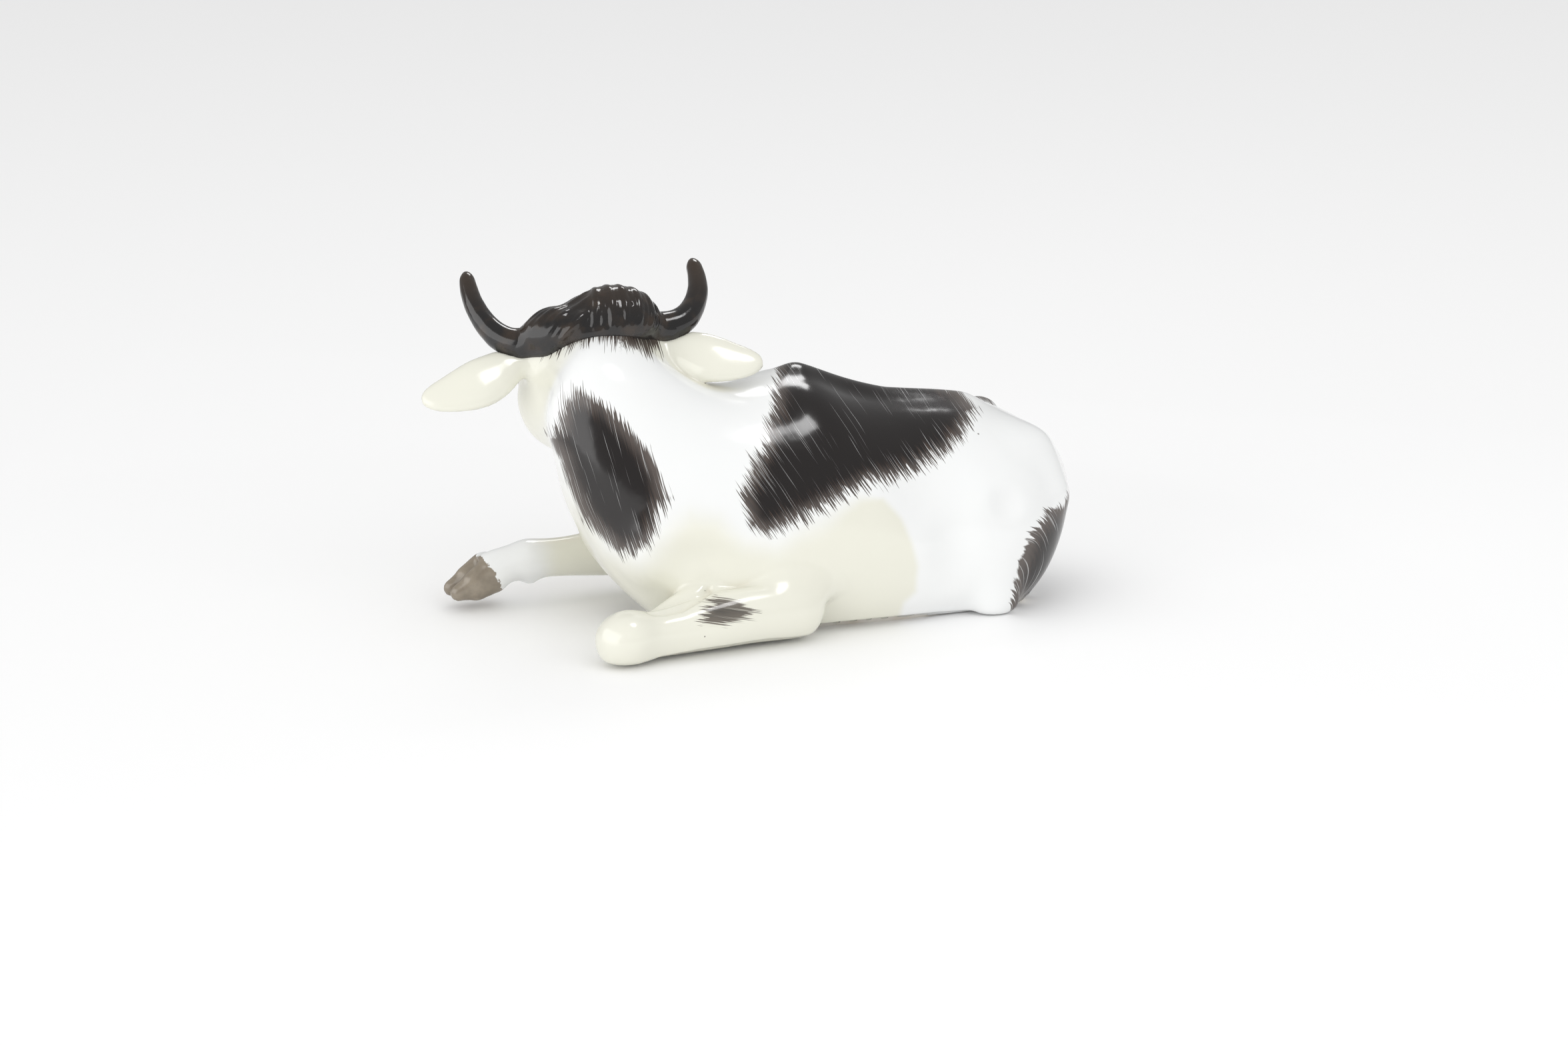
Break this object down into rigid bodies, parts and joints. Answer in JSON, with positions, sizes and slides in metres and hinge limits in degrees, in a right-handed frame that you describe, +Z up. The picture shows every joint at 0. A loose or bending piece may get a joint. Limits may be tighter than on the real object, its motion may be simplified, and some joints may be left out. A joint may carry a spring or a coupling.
{
  "type": "cow figurine",
  "caption": "Recumbent porcelain cow with its head turned back, hollow body on a closed flat base, for standing on a shelf or table.",
  "frame": {"origin": "on the table, on the flat underside of the slab, under the middle of the trunk", "axes": "+X towards the rump along the trunk, -Y to the cow's left flank, +Z up"},
  "size_m": [0.1557, 0.0797, 0.0801],
  "materials": {
    "white_glaze": "white glazed porcelain, hand-painted with dark coat patches",
    "dark_glaze": "glossy brown-black enamel",
    "bare_porcelain": "unglazed fired porcelain"
  },
  "bodies": {
    "root": {"trunk_left_half": "white_glaze", "trunk_right_half": "white_glaze", "belly_slab": "bare_porcelain", "neck": "white_glaze", "head": "white_glaze", "poll_tuft": "dark_glaze", "left_horn": "dark_glaze", "right_horn": "dark_glaze", "left_ear": "white_glaze", "right_ear": "white_glaze", "left_foreleg": "white_glaze", "right_foreleg": "white_glaze", "right_hind_leg": "white_glaze", "left_hind_foot": "white_glaze", "tail": "white_glaze"}
  },
  "joints": []
}
